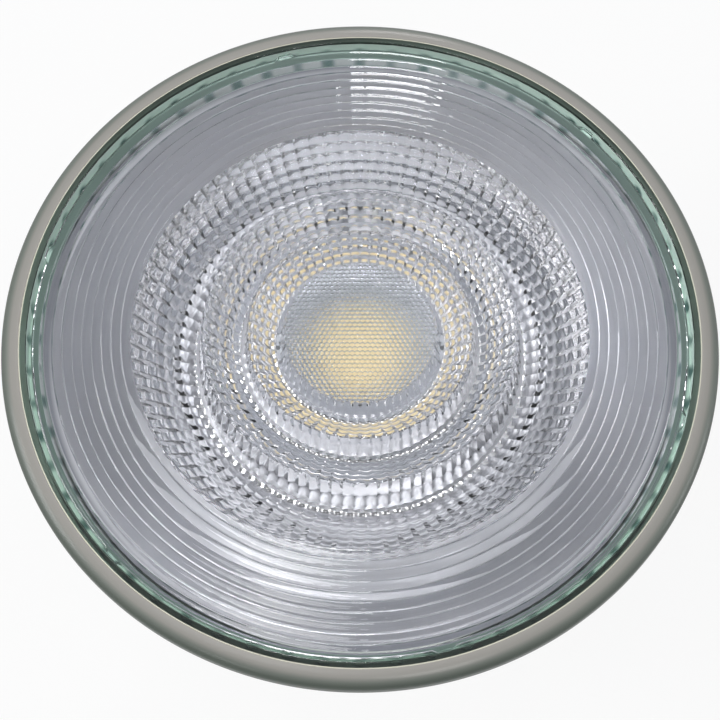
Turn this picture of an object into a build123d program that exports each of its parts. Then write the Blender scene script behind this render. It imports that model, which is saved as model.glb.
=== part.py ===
"""Reflector-style LED spotlight lamp with a pressed-glass body and a rear base with two screw lugs.

The lamp's axis is Z and it shines along +Z. The origin is on the axis, at the widest line of the rim.
Sizes are in millimetres.
"""

from build123d import *

import math
import os

# Rim of the glass body
lamp_diameter = 111.0
rim_land = 1.0            # height of the straight band at the widest line
rim_round_width = 2.9     # radial width of the rounded top edge
rim_round_height = 1.6
rim_flat = 1.1            # flat ring between the rounded edge and the inner wall
rim_under_round = 1.6
flute_count = 60          # shallow upright flutes round the inner wall of the rim
flute_radius = 1.4
flute_depth = 0.3

# Bowl and neck of the glass body
glass_wall = 2.6
lens_ledge = 1.8          # radial width of the step that the lens lies on
neck_outer_radius = 29.0
neck_shoulder_z = -29.0   # where the inside of the bowl turns into the neck
neck_length = 7.5
neck_blend = 3.0

# Lens
lens_recess = 0.8         # the lens edge lies this far below the top of the rim
lens_edge_gap = 0.7
lens_edge_thickness = 2.0
lens_edge_land = 0.6
nub_count = 6             # nubs on the lens edge that keep it in the middle of the rim
nub_width = 1.6
nub_clearance = 0.1
nub_start_angle = 44.0
lens_crown = 2.5          # rise of the ribbed ring from its edge to the optic
lens_optic_thickness = 2.9
lens_dome = 0.5           # rise of the optic's smooth front at its middle
rib_count = 10
rib_height = 0.2
disc_radius = 11.7        # middle disc of the optic
tooth_tip_radii = (12.7, 18.3, 25.5)
tooth_crest_radii = (17.3, 24.4, 35.3)
tooth_tip_flat = 0.3
tooth_flank_angle = 57.0
seal_thickness = 0.4
seal_width = 1.1

# Heat spreader
spreader_sheet = 1.5
spreader_floor_z = -19.5  # top of the flat floor round the pedestal
spreader_rim_z = -1.9
pedestal_top_z = -12.0    # the light source lies on it
pedestal_radius = 24.5
pedestal_round = 1.6
spreader_glass_gap = 0.3
collar_wall = 0.9
collar_depth = 1.6
insulator_margin = 0.5    # width of the disc beyond the middles of the wire holes
insulator_thickness = 0.5
insulator_clearance = 0.3

# Light source
pad_thickness = 0.5
chip_side = 19.0
chip_thickness = 1.4
chip_corner_cut = 1.2
emitter_radius = 7.5
dam_width = 0.9
dam_height = 0.6
phosphor_height = 0.5
holder_screw_from_chip = 4.5   # from the chip's edge to the middle of a screw
holder_rim_width = 3.5         # from the middle of a screw to the holder's edge
holder_edge_chamfer = 1.0
holder_height = 4.0
holder_mouth_radius = 11.0
holder_fit = 0.2

# Screws, given as radii
holder_screw_radius = 1.5
holder_screw_head_radius = 2.75
holder_screw_head_height = 1.8
holder_screw_length = 6.5
holder_screw_recess = 3.3      # length of each arm of the cross recess
terminal_screw_radius = 1.95
terminal_screw_head_radius = 3.7
terminal_screw_head_height = 2.3
terminal_screw_length = 6.0
terminal_screw_head_round = 0.8
screw_slot_width = 0.8
screw_slot_depth = 1.0
screw_clearance = 0.15
thread_clearance = 0.05

# Base housing
cement_thickness = 0.6
base_wall = 2.8
base_floor = 2.5
base_height_below_neck = 11.0
base_taper = 1.0
base_foot_round = 2.5
cavity_ledge = 1.8        # width of the ledge under the glass neck
terminal_post_height = 9.5
terminal_post_width = 11.0
terminal_post_depth = 8.0
terminal_post_round = 0.8

# Terminals
lug_inset = 4.9           # from the base's foot to the middle of a lug
lug_thickness = 0.8
lug_width = 9.0
lug_length = 11.0
lug_corner_round = 1.5
lug_tail_width = 5.0
lug_tail_above_board = 1.5
lug_slot_clearance = 0.1
lug_hole_from_base = 5.2
washer_radius = 4.2
washer_thickness = 0.8

# Driver board and its components
board_thickness = 1.6
board_gap = 0.5
board_post_height = 3.0
board_post_radius = 2.0
board_post_inset = 7.8    # from the cavity wall to the middle of a post
board_post_count = 4
board_post_start_angle = 45.0
wire_radius = 0.65
wire_spacing = 6.0
wire_from_holder = 3.4    # from the holder's edge to the wires' way down
wire_bend = 2.6
wire_from_dam = 0.3
grommet_wall = 0.7
grommet_flange = 0.6
grommet_lip = 0.7
large_capacitor_size = (5.0, 12.0)   # radius, height
small_capacitor_size = (4.0, 10.0)
capacitor_bead = 0.35
capacitor_bead_height = 2.0
capacitor_top_round = 0.7
inductor_radius = 6.0
inductor_core_radius = 2.6
inductor_flange = 1.2
inductor_height = 8.5
winding_inset = 0.6
rectifier_size = (8.0, 6.2, 2.6)
driver_chip_size = (5.0, 4.0, 1.5)
film_capacitor_size = (2.6, 7.2, 6.5)
fuse_radius = 1.6
fuse_length = 6.5
fuse_end_round = 0.5
chip_resistor_size = (3.2, 1.6, 0.7)
rectifier_chamfer = 0.5
driver_chip_chamfer = 0.3
film_capacitor_chamfer = 0.4

# Places of the components on the board, from its middle
large_capacitor_at = (-9.0, 9.5)
small_capacitor_at = (-13.0, -6.0)
inductor_at = (6.0, -9.0)
rectifier_at = (13.0, 6.5)
driver_chip_at = (2.5, 5.5)
film_capacitor_at = (17.0, -5.0)
fuse_at = (-5.0, -19.0)
chip_resistors_at = ((-1.0, -0.5), (-20.0, 3.5), (3.0, 12.5), (9.5, 13.0))

# Heights and radii that follow from the sizes above
rim_radius = lamp_diameter / 2
rim_top = rim_land / 2 + rim_round_height
rim_bottom = -rim_land / 2 - rim_under_round
rim_inner_radius = rim_radius - rim_round_width - rim_flat
lens_radius = rim_inner_radius - lens_edge_gap
lens_edge_z = rim_top - lens_recess
lens_under_z = lens_edge_z - lens_edge_thickness
seat_z = lens_under_z - seal_thickness
seat_inner_radius = rim_inner_radius - lens_ledge
neck_inner_radius = neck_outer_radius - glass_wall
neck_end_z = neck_shoulder_z - neck_length
optic_radius = tooth_crest_radii[-1]
optic_front_z = lens_edge_z + lens_crown
optic_back_z = optic_front_z - lens_optic_thickness

# The inside of the bowl is part of a sphere that passes through the ledge and the neck
bowl_centre_z = (
    neck_inner_radius**2 + neck_shoulder_z**2 - seat_inner_radius**2 - seat_z**2
) / (2 * (neck_shoulder_z - seat_z))
bowl_radius = math.hypot(seat_inner_radius, seat_z - bowl_centre_z)

floor_under_z = spreader_floor_z - spreader_sheet
pedestal_under_z = pedestal_top_z - spreader_sheet
holder_screw_offset = chip_side / 2 + holder_screw_from_chip
holder_radius = holder_screw_offset + holder_rim_width
chip_under_z = pedestal_top_z + pad_thickness
chip_top_z = chip_under_z + chip_thickness
holder_top_z = pedestal_top_z + holder_height
holder_hole_radius = emitter_radius + dam_width + holder_fit

base_inner_radius = neck_outer_radius + cement_thickness
base_outer_radius = base_inner_radius + base_wall
base_foot_radius = base_outer_radius - base_taper
cavity_radius = base_inner_radius - cavity_ledge
base_shoulder_z = neck_end_z - cement_thickness
base_top_z = neck_shoulder_z - neck_blend
base_floor_z = neck_end_z - base_height_below_neck
base_bottom_z = base_floor_z - base_floor

board_under_z = base_floor_z + board_post_height
board_top_z = board_under_z + board_thickness
board_radius = cavity_radius - board_gap
board_post_circle = cavity_radius - board_post_inset
lug_middle_x = base_foot_radius - lug_inset
lug_outer_x = lug_middle_x + lug_thickness / 2
lug_inner_x = lug_middle_x - lug_thickness / 2
lug_hole_z = base_bottom_z - lug_hole_from_base
wire_z = chip_top_z + wire_radius
wire_start_y = emitter_radius + dam_width + wire_from_dam
wire_drop_y = holder_radius + wire_from_holder
insulator_radius = wire_drop_y + insulator_margin
wire_hole_radius = wire_radius + grommet_wall + screw_clearance

close_match = 0.01       # edges this close to a size or height are taken to lie at it

parts = {}


def radius_at(z, offset=0.0):
    """Radius of the sphere inside the bowl at a height; a positive offset lies outside it."""
    return math.sqrt((bowl_radius + offset) ** 2 - (z - bowl_centre_z) ** 2)


def depth_at(radius, offset=0.0):
    """Height at which the sphere inside the bowl has a given radius."""
    return bowl_centre_z - math.sqrt((bowl_radius + offset) ** 2 - radius**2)


def sphere_arc(z_from, z_to, offset=0.0):
    """Arc of the bowl's section between two heights."""
    z_middle = (z_from + z_to) / 2
    return ThreePointArc(
        (radius_at(z_from, offset), z_from),
        (radius_at(z_middle, offset), z_middle),
        (radius_at(z_to, offset), z_to),
    )


def save(builder, name):
    """Label a finished piece and keep it for export."""
    builder.part.label = name
    parts[name] = builder.part


# Glass body: rim bead, ledge for the lens, spherical bowl and straight neck
outer_neck_z = depth_at(neck_outer_radius, glass_wall)
with BuildPart() as glass_bowl:
    with BuildSketch(Plane.XZ):
        with BuildLine():
            Line((rim_inner_radius, rim_top), (rim_inner_radius + rim_flat, rim_top))
            EllipticalCenterArc(
                (rim_inner_radius + rim_flat, rim_land / 2),
                rim_round_width,
                rim_round_height,
                start_angle=0,
                arc_size=90,
            )
            Line((rim_radius, rim_land / 2), (rim_radius, -rim_land / 2))
            CenterArc((rim_radius - rim_under_round, -rim_land / 2), rim_under_round, 0, -90)
            Line((rim_radius - rim_under_round, rim_bottom), (radius_at(rim_bottom, glass_wall), rim_bottom))
            sphere_arc(rim_bottom, outer_neck_z, glass_wall)
            Line((neck_outer_radius, outer_neck_z), (neck_outer_radius, neck_end_z))
            Line((neck_outer_radius, neck_end_z), (neck_inner_radius, neck_end_z))
            Line((neck_inner_radius, neck_end_z), (neck_inner_radius, neck_shoulder_z))
            sphere_arc(neck_shoulder_z, seat_z)
            Line((seat_inner_radius, seat_z), (rim_inner_radius, seat_z))
            Line((rim_inner_radius, seat_z), (rim_inner_radius, rim_top))
        make_face()
    revolve(axis=Axis.Z)
    neck_corners = glass_bowl.edges().filter_by(GeomType.CIRCLE).filter_by(
        lambda edge: abs(edge.center().Z - outer_neck_z) < close_match
        or abs(edge.center().Z - neck_shoulder_z) < close_match
    )
    fillet(neck_corners, radius=neck_blend)
    with BuildSketch(Plane.XY.offset(seat_z)):
        with PolarLocations(rim_inner_radius - flute_radius + flute_depth, flute_count):
            Circle(flute_radius)
    extrude(amount=rim_top - seat_z, mode=Mode.SUBTRACT)
save(glass_bowl, "glass_bowl")

# Lens: ribbed outer ring, smooth domed front and a stepped back with three deep teeth round a disc
rib_pitch = (lens_radius - lens_edge_land - optic_radius) / rib_count
rib_slope = lens_crown / (lens_radius - lens_edge_land - optic_radius)
with BuildPart() as lens:
    with BuildSketch(Plane.XZ):
        with BuildLine():
            Line((0, optic_back_z), (disc_radius, optic_back_z))
            inner_foot = (disc_radius, optic_back_z)
            for tip_radius, crest_radius in zip(tooth_tip_radii, tooth_crest_radii):
                flank_width = crest_radius - tip_radius - tooth_tip_flat
                tip_z = optic_back_z - flank_width * math.tan(math.radians(tooth_flank_angle))
                Polyline(
                    inner_foot,
                    (tip_radius, tip_z),
                    (tip_radius + tooth_tip_flat, tip_z),
                    (crest_radius, optic_back_z),
                )
                inner_foot = (crest_radius, optic_back_z)
            Polyline(
                inner_foot,
                (lens_radius - seal_width, lens_under_z),
                (lens_radius, lens_under_z),
                (lens_radius, lens_edge_z),
                (lens_radius - lens_edge_land, lens_edge_z),
            )
            for rib in range(rib_count):
                rib_outer = lens_radius - lens_edge_land - rib * rib_pitch
                rib_outer_z = lens_edge_z + rib * rib_pitch * rib_slope
                rib_inner_z = rib_outer_z + rib_pitch * rib_slope
                ThreePointArc(
                    (rib_outer, rib_outer_z),
                    (rib_outer - rib_pitch / 2, (rib_outer_z + rib_inner_z) / 2 + rib_height),
                    (rib_outer - rib_pitch, rib_inner_z),
                )
            dome_middle = optic_front_z + lens_dome
            TangentArc((0, dome_middle), (optic_radius, optic_front_z), tangent=(1, 0))
            Line((0, dome_middle), (0, optic_back_z))
        make_face()
    revolve(axis=Axis.Z)
    nub_reach = lens_edge_gap - nub_clearance
    with BuildSketch(Plane.XY.offset(lens_under_z)):
        with PolarLocations(lens_radius, nub_count, start_angle=nub_start_angle):
            Rectangle(2 * nub_reach, nub_width)
    extrude(amount=lens_edge_thickness)
save(lens, "lens")

# Seal: silicone ring under the lens edge
with BuildPart() as lens_seal:
    with BuildSketch(Plane.XY.offset(seat_z)):
        Circle(lens_radius)
        Circle(lens_radius - seal_width, mode=Mode.SUBTRACT)
    extrude(amount=seal_thickness)
save(lens_seal, "lens_seal")

# Heat spreader: pressed aluminium dish with a raised pedestal, two tapped collars and two wire holes
screw_places = [(-holder_screw_offset, 0), (holder_screw_offset, 0)]
wire_places = [(-wire_spacing / 2, wire_drop_y), (wire_spacing / 2, wire_drop_y)]
spreader_outer = -spreader_glass_gap
spreader_inner = spreader_outer - spreader_sheet
with BuildPart() as heat_spreader:
    with BuildSketch(Plane.XZ):
        with BuildLine():
            Polyline(
                (0, pedestal_under_z),
                (pedestal_radius - spreader_sheet, pedestal_under_z),
                (pedestal_radius - spreader_sheet, floor_under_z),
                (radius_at(floor_under_z, spreader_outer), floor_under_z),
            )
            sphere_arc(floor_under_z, spreader_rim_z, spreader_outer)
            Line(
                (radius_at(spreader_rim_z, spreader_outer), spreader_rim_z),
                (radius_at(spreader_rim_z, spreader_inner), spreader_rim_z),
            )
            sphere_arc(spreader_rim_z, spreader_floor_z, spreader_inner)
            Polyline(
                (radius_at(spreader_floor_z, spreader_inner), spreader_floor_z),
                (pedestal_radius, spreader_floor_z),
                (pedestal_radius, pedestal_top_z),
                (0, pedestal_top_z),
                (0, pedestal_under_z),
            )
        make_face()
    revolve(axis=Axis.Z)
    pedestal_edges = heat_spreader.edges().filter_by(GeomType.CIRCLE).filter_by(
        lambda edge: abs(edge.radius - pedestal_radius) < close_match
    )
    fillet(pedestal_edges, radius=pedestal_round)
    with BuildSketch(Plane.XY.offset(pedestal_under_z)):
        with Locations(*screw_places):
            Circle(holder_screw_radius + thread_clearance + collar_wall)
    extrude(amount=-collar_depth)
    with BuildSketch(Plane.XY.offset(pedestal_top_z)):
        with Locations(*screw_places):
            Circle(holder_screw_radius + thread_clearance)
        with Locations(*wire_places):
            Circle(wire_hole_radius)
    extrude(amount=-(spreader_sheet + collar_depth), mode=Mode.SUBTRACT)
save(heat_spreader, "heat_spreader")

# Insulating disc under the pedestal, cut round the collars and the grommets
with BuildPart() as insulating_disc:
    with BuildSketch(Plane.XY.offset(pedestal_under_z)):
        Circle(insulator_radius)
        with Locations(*screw_places):
            Circle(
                holder_screw_radius + thread_clearance + collar_wall + insulator_clearance,
                mode=Mode.SUBTRACT,
            )
        with Locations(*wire_places):
            Circle(wire_hole_radius + grommet_lip + insulator_clearance, mode=Mode.SUBTRACT)
    extrude(amount=-insulator_thickness)
save(insulating_disc, "insulating_disc")

# Grommets: one flanged sleeve for each wire hole, flanged on the side of the light source
with BuildPart() as wire_grommets:
    with BuildSketch(Plane.XY.offset(pedestal_top_z)):
        with Locations(*wire_places):
            Circle(wire_hole_radius + grommet_lip)
    extrude(amount=grommet_flange)
    with BuildSketch(Plane.XY.offset(pedestal_top_z)):
        with Locations(*wire_places):
            Circle(wire_hole_radius - thread_clearance)
    extrude(amount=-spreader_sheet - insulator_thickness)
    with BuildSketch(Plane.XY.offset(pedestal_top_z + grommet_flange)):
        with Locations(*wire_places):
            Circle(wire_radius + thread_clearance)
    extrude(amount=-(grommet_flange + spreader_sheet + insulator_thickness), mode=Mode.SUBTRACT)
save(wire_grommets, "wire_grommets")

# Thermal pad
with BuildPart() as thermal_pad:
    with BuildSketch(Plane.XY.offset(pedestal_top_z)):
        Rectangle(chip_side, chip_side)
    extrude(amount=pad_thickness)
save(thermal_pad, "thermal_pad")

# Substrate of the light source, with one corner cut as its mark
with BuildPart() as emitter_substrate:
    with BuildSketch(Plane.XY.offset(chip_under_z)) as substrate_sketch:
        Rectangle(chip_side, chip_side)
        chamfer(substrate_sketch.vertices().sort_by(Axis.X)[-2:].sort_by(Axis.Y)[:1], length=chip_corner_cut)
    extrude(amount=chip_thickness)
save(emitter_substrate, "emitter_substrate")

# Dam: ring that holds the phosphor
with BuildPart() as emitter_dam:
    with BuildSketch(Plane.XY.offset(chip_top_z)):
        Circle(emitter_radius + dam_width)
        Circle(emitter_radius, mode=Mode.SUBTRACT)
    extrude(amount=dam_height)
    fillet(emitter_dam.faces().sort_by(Axis.Z)[-1].edges(), radius=min(dam_width, dam_height) / 3)
save(emitter_dam, "emitter_dam")

# Phosphor: disc of filled silicone inside the dam
with BuildPart() as emitter_phosphor:
    with BuildSketch(Plane.XY.offset(chip_top_z)):
        Circle(emitter_radius)
    extrude(amount=phosphor_height)
save(emitter_phosphor, "emitter_phosphor")

# Holder: moulded ring that clamps the substrate by its corners
with BuildPart() as emitter_holder:
    with BuildSketch(Plane.XZ):
        with BuildLine():
            Polyline(
                (holder_hole_radius, pedestal_top_z),
                (holder_radius, pedestal_top_z),
                (holder_radius, holder_top_z - holder_edge_chamfer),
                (holder_radius - holder_edge_chamfer, holder_top_z),
                (holder_mouth_radius, holder_top_z),
                (holder_hole_radius, chip_top_z + dam_height),
                close=True,
            )
        make_face()
    revolve(axis=Axis.Z)
    with BuildSketch(Plane.XY.offset(pedestal_top_z)):
        Rectangle(chip_side + 2 * holder_fit, chip_side + 2 * holder_fit)
    extrude(amount=pad_thickness + chip_thickness, mode=Mode.SUBTRACT)
    wire_channel = 2 * (wire_radius + screw_clearance)
    with BuildSketch(Plane.XY.offset(pedestal_top_z)):
        with Locations(*[(x, (wire_start_y + holder_radius) / 2) for x, _ in wire_places]):
            Rectangle(wire_channel, holder_radius - wire_start_y + 2 * wire_radius)
    extrude(amount=wire_z + wire_radius + screw_clearance - pedestal_top_z, mode=Mode.SUBTRACT)
    with BuildSketch(Plane.XY.offset(holder_top_z)):
        with Locations(*screw_places):
            Circle(holder_screw_head_radius + screw_clearance)
    extrude(amount=-holder_screw_head_height, mode=Mode.SUBTRACT)
    with BuildSketch(Plane.XY.offset(holder_top_z)):
        with Locations(*screw_places):
            Circle(holder_screw_radius + screw_clearance)
    extrude(amount=-holder_height, mode=Mode.SUBTRACT)
save(emitter_holder, "emitter_holder")

# Holder screws: pan heads sunk into the holder, shanks down through the collars
screw_seat_z = holder_top_z - holder_screw_head_height
with BuildPart() as holder_screws:
    with BuildSketch(Plane.XY.offset(screw_seat_z)):
        with Locations(*screw_places):
            Circle(holder_screw_head_radius)
    extrude(amount=holder_screw_head_height)
    fillet(holder_screws.faces().group_by(Axis.Z)[-1].edges(), radius=holder_screw_head_height / 3)
    with BuildSketch(Plane.XY.offset(screw_seat_z)):
        with Locations(*screw_places):
            Circle(holder_screw_radius)
    extrude(amount=-holder_screw_length)
    with BuildSketch(Plane.XY.offset(holder_top_z)):
        with Locations(*screw_places):
            Rectangle(holder_screw_recess, screw_slot_width)
            Rectangle(screw_slot_width, holder_screw_recess)
    extrude(amount=-screw_slot_depth, mode=Mode.SUBTRACT)
save(holder_screws, "holder_screws")

# Leads from the light source, over the pedestal, through the grommets and down to the driver board
for side, x in (("negative", -wire_spacing / 2), ("positive", wire_spacing / 2)):
    with BuildPart() as lead_wire:
        with BuildLine():
            FilletPolyline(
                (x, wire_start_y, wire_z),
                (x, wire_drop_y, wire_z),
                (x, wire_drop_y, board_top_z),
                radius=wire_bend,
            )
        with BuildSketch(Plane(origin=(x, wire_start_y, wire_z), z_dir=(0, 1, 0))):
            Circle(wire_radius)
        sweep()
    save(lead_wire, f"lead_wire_{side}")

# Cement ring between the neck and the base
with BuildPart() as base_cement:
    with BuildSketch(Plane.XZ):
        with BuildLine():
            Polyline(
                (neck_inner_radius + cement_thickness, neck_end_z),
                (neck_outer_radius, neck_end_z),
                (neck_outer_radius, base_top_z - cement_thickness),
                (base_inner_radius, base_top_z - cement_thickness),
                (base_inner_radius, base_shoulder_z),
                (neck_inner_radius + cement_thickness, base_shoulder_z),
                close=True,
            )
        make_face()
    revolve(axis=Axis.Z)
save(base_cement, "base_cement")

# Base housing: moulded cup round the neck, with board posts inside and two lug posts behind
lug_slot = lug_thickness + 2 * lug_slot_clearance
with BuildPart() as base_housing:
    with BuildSketch(Plane.XZ):
        with BuildLine():
            Polyline(
                (0, base_bottom_z),
                (base_foot_radius, base_bottom_z),
                (base_outer_radius, base_shoulder_z),
                (base_outer_radius, base_top_z),
                (base_inner_radius, base_top_z),
                (base_inner_radius, base_shoulder_z),
                (cavity_radius, base_shoulder_z),
                (cavity_radius, base_floor_z),
                (0, base_floor_z),
                close=True,
            )
        make_face()
    revolve(axis=Axis.Z)
    foot_edge = base_housing.edges().filter_by(GeomType.CIRCLE).filter_by(
        lambda edge: abs(edge.center().Z - base_bottom_z) < close_match
    )
    fillet(foot_edge, radius=base_foot_round)
    with BuildSketch(Plane.XY.offset(base_floor_z)):
        with PolarLocations(board_post_circle, board_post_count, start_angle=board_post_start_angle):
            Circle(board_post_radius)
    extrude(amount=board_post_height)
    post_middle_x = lug_inner_x - terminal_post_depth / 2
    with BuildSketch(Plane.XY.offset(base_bottom_z)):
        with Locations((-post_middle_x, 0), (post_middle_x, 0)):
            RectangleRounded(terminal_post_depth, terminal_post_width, terminal_post_round)
    extrude(amount=-terminal_post_height)
    with BuildSketch(Plane.XY.offset(base_floor_z)):
        with Locations((-lug_middle_x, 0), (lug_middle_x, 0)):
            Rectangle(lug_slot, lug_tail_width + 2 * lug_slot_clearance)
    extrude(amount=-base_floor, mode=Mode.SUBTRACT)
    for sign in (-1, 1):
        with BuildSketch(Plane(origin=(sign * lug_inner_x, 0, lug_hole_z), z_dir=(sign, 0, 0))):
            Circle(terminal_screw_radius + screw_clearance)
        extrude(amount=-terminal_screw_length, mode=Mode.SUBTRACT)
save(base_housing, "base_housing")

# Driver board: round, with an edge notch for the tail of each lug
with BuildPart() as driver_board:
    with BuildSketch(Plane.XY.offset(board_under_z)):
        Circle(board_radius)
        with Locations((-board_radius, 0), (board_radius, 0)):
            Rectangle(
                2 * (board_radius - lug_inner_x + lug_slot_clearance),
                lug_tail_width + 2 * lug_slot_clearance,
                mode=Mode.SUBTRACT,
            )
    extrude(amount=board_thickness)
save(driver_board, "driver_board")

# Terminal lugs: flat blades behind the base, with narrow tails that reach the driver board
blade_bottom_z = base_bottom_z - lug_length
for side, sign in (("left", -1), ("right", 1)):
    with BuildPart() as terminal_lug:
        with BuildSketch(Plane(origin=(sign * lug_middle_x, 0, 0), x_dir=(0, 1, 0), z_dir=(1, 0, 0))):
            with Locations((0, (base_bottom_z + blade_bottom_z) / 2)):
                RectangleRounded(lug_width, lug_length, lug_corner_round)
            with Locations((0, base_bottom_z - lug_corner_round)):
                Rectangle(lug_width, 2 * lug_corner_round)
            tail_top_z = board_top_z + lug_tail_above_board
            with Locations((0, (tail_top_z + base_bottom_z) / 2)):
                Rectangle(lug_tail_width, tail_top_z - base_bottom_z)
            with Locations((0, lug_hole_z)):
                Circle(terminal_screw_radius + thread_clearance, mode=Mode.SUBTRACT)
        extrude(amount=lug_thickness / 2, both=True)
    save(terminal_lug, f"terminal_lug_{side}")

# Terminal washers and screws, one of each on the outer face of either lug
with BuildPart() as terminal_washers:
    for sign in (-1, 1):
        with BuildSketch(Plane(origin=(sign * lug_outer_x, 0, lug_hole_z), z_dir=(sign, 0, 0))):
            Circle(washer_radius)
            Circle(terminal_screw_radius + screw_clearance, mode=Mode.SUBTRACT)
        extrude(amount=washer_thickness)
save(terminal_washers, "terminal_washers")

with BuildPart() as terminal_screws:
    for sign in (-1, 1):
        head_x = sign * (lug_outer_x + washer_thickness)
        with BuildSketch(Plane(origin=(head_x, 0, lug_hole_z), z_dir=(sign, 0, 0))):
            Circle(terminal_screw_head_radius)
        extrude(amount=terminal_screw_head_height)
        side_faces = terminal_screws.faces().sort_by(Axis.X)
        fillet((side_faces[-1] if sign > 0 else side_faces[0]).edges(), radius=terminal_screw_head_round)
        with BuildSketch(Plane(origin=(head_x, 0, lug_hole_z), z_dir=(sign, 0, 0))):
            Circle(terminal_screw_radius)
        extrude(amount=-(terminal_screw_length + washer_thickness))
        crown_x = head_x + sign * terminal_screw_head_height
        with BuildSketch(Plane(origin=(crown_x, 0, lug_hole_z), z_dir=(sign, 0, 0))):
            Rectangle(2 * terminal_screw_head_radius, screw_slot_width)
        extrude(amount=-screw_slot_depth, mode=Mode.SUBTRACT)
save(terminal_screws, "terminal_screws")

# Electrolytic capacitors: cans with a rolled bead near the foot
for name, (radius, height), place in (
    ("large_capacitor", large_capacitor_size, large_capacitor_at),
    ("small_capacitor", small_capacitor_size, small_capacitor_at),
):
    with BuildPart() as capacitor:
        with BuildSketch(Plane.XY.offset(board_top_z)):
            with Locations(place):
                Circle(radius)
        extrude(amount=height)
        fillet(capacitor.faces().sort_by(Axis.Z)[-1].edges(), radius=capacitor_top_round)
        with BuildSketch(Plane.XY.offset(board_top_z + capacitor_bead_height)):
            with Locations(place):
                Circle(radius)
                Circle(radius - capacitor_bead, mode=Mode.SUBTRACT)
        extrude(amount=2 * capacitor_bead, mode=Mode.SUBTRACT)
    save(capacitor, name)

# Inductor: ferrite drum and the winding between its flanges
with BuildPart() as inductor_core:
    with BuildSketch(Plane.XY.offset(board_top_z)):
        with Locations(inductor_at):
            Circle(inductor_radius)
    extrude(amount=inductor_height)
    with BuildSketch(Plane.XY.offset(board_top_z + inductor_flange)):
        with Locations(inductor_at):
            Circle(inductor_radius)
            Circle(inductor_core_radius, mode=Mode.SUBTRACT)
    extrude(amount=inductor_height - 2 * inductor_flange, mode=Mode.SUBTRACT)
save(inductor_core, "inductor_core")

with BuildPart() as inductor_winding:
    with BuildSketch(Plane.XY.offset(board_top_z + inductor_flange)):
        with Locations(inductor_at):
            Circle(inductor_radius - winding_inset)
            Circle(inductor_core_radius, mode=Mode.SUBTRACT)
    extrude(amount=inductor_height - 2 * inductor_flange)
save(inductor_winding, "inductor_winding")

# Moulded components that stand flat on the board
for name, (length, width, height), place, edge in (
    ("bridge_rectifier", rectifier_size, rectifier_at, rectifier_chamfer),
    ("driver_chip", driver_chip_size, driver_chip_at, driver_chip_chamfer),
    ("film_capacitor", film_capacitor_size, film_capacitor_at, film_capacitor_chamfer),
):
    with BuildPart() as component:
        with BuildSketch(Plane.XY.offset(board_top_z)):
            with Locations(place):
                Rectangle(length, width)
        extrude(amount=height)
        chamfer(component.faces().sort_by(Axis.Z)[-1].edges(), length=edge)
    save(component, name)

# Fuse: small cylinder lying on the board
with BuildPart() as input_fuse:
    fuse_plane = Plane(
        origin=(fuse_at[0] - fuse_length / 2, fuse_at[1], board_top_z + fuse_radius), z_dir=(1, 0, 0)
    )
    with BuildSketch(fuse_plane):
        Circle(fuse_radius)
    extrude(amount=fuse_length)
    fillet(input_fuse.edges().filter_by(GeomType.CIRCLE), radius=fuse_end_round)
save(input_fuse, "input_fuse")

# Chip resistors
with BuildPart() as chip_resistors:
    with BuildSketch(Plane.XY.offset(board_top_z)):
        with Locations(*chip_resistors_at):
            Rectangle(chip_resistor_size[0], chip_resistor_size[1])
    extrude(amount=chip_resistor_size[2])
save(chip_resistors, "chip_resistors")

os.makedirs("parts", exist_ok=True)
for name, part in parts.items():
    export_step(part, f"parts/{name}.step")
    print(f"{name}: {len(part.solids())} solids, {part.volume:.1f} mm3")
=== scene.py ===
"""Looks of a reflector-style LED spotlight lamp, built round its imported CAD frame.

The frame's axes are kept: the lamp shines along +Z and the origin is on its axis, at the widest line of the
rim. Sizes in the classes are in millimetres, and every mesh is made in metres.
"""

from __future__ import annotations

import logging
import math
from dataclasses import dataclass, field
from enum import Enum, IntEnum

import bmesh
import bpy
import numpy as np
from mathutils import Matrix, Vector

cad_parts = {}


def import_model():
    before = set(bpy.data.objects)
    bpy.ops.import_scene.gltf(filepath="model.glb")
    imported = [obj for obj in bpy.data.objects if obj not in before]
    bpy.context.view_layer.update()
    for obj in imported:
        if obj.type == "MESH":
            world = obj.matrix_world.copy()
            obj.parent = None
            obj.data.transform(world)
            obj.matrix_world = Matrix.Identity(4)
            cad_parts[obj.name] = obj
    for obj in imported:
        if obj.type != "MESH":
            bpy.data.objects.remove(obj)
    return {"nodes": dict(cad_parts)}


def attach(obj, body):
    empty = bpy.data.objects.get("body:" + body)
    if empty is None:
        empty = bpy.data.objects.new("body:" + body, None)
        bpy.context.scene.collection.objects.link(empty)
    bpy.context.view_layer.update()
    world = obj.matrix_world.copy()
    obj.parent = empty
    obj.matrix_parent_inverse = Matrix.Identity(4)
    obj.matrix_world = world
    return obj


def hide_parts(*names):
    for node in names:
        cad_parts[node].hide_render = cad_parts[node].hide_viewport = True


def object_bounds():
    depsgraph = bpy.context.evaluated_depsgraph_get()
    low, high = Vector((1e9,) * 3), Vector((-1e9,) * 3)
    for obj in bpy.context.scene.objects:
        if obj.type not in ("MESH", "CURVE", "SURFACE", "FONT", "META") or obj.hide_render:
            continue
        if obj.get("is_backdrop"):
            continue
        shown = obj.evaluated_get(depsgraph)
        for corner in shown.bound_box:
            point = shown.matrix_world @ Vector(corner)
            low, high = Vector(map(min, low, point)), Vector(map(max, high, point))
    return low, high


LOG = logging.getLogger("spotlight_lamp")
MM = 0.001  # metres in a millimetre
BODY = "root"
TOUCH = 0.01  # places closer than this many millimetres count as one
Socket = bpy.types.NodeSocket
Tree = bpy.types.NodeTree


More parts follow.
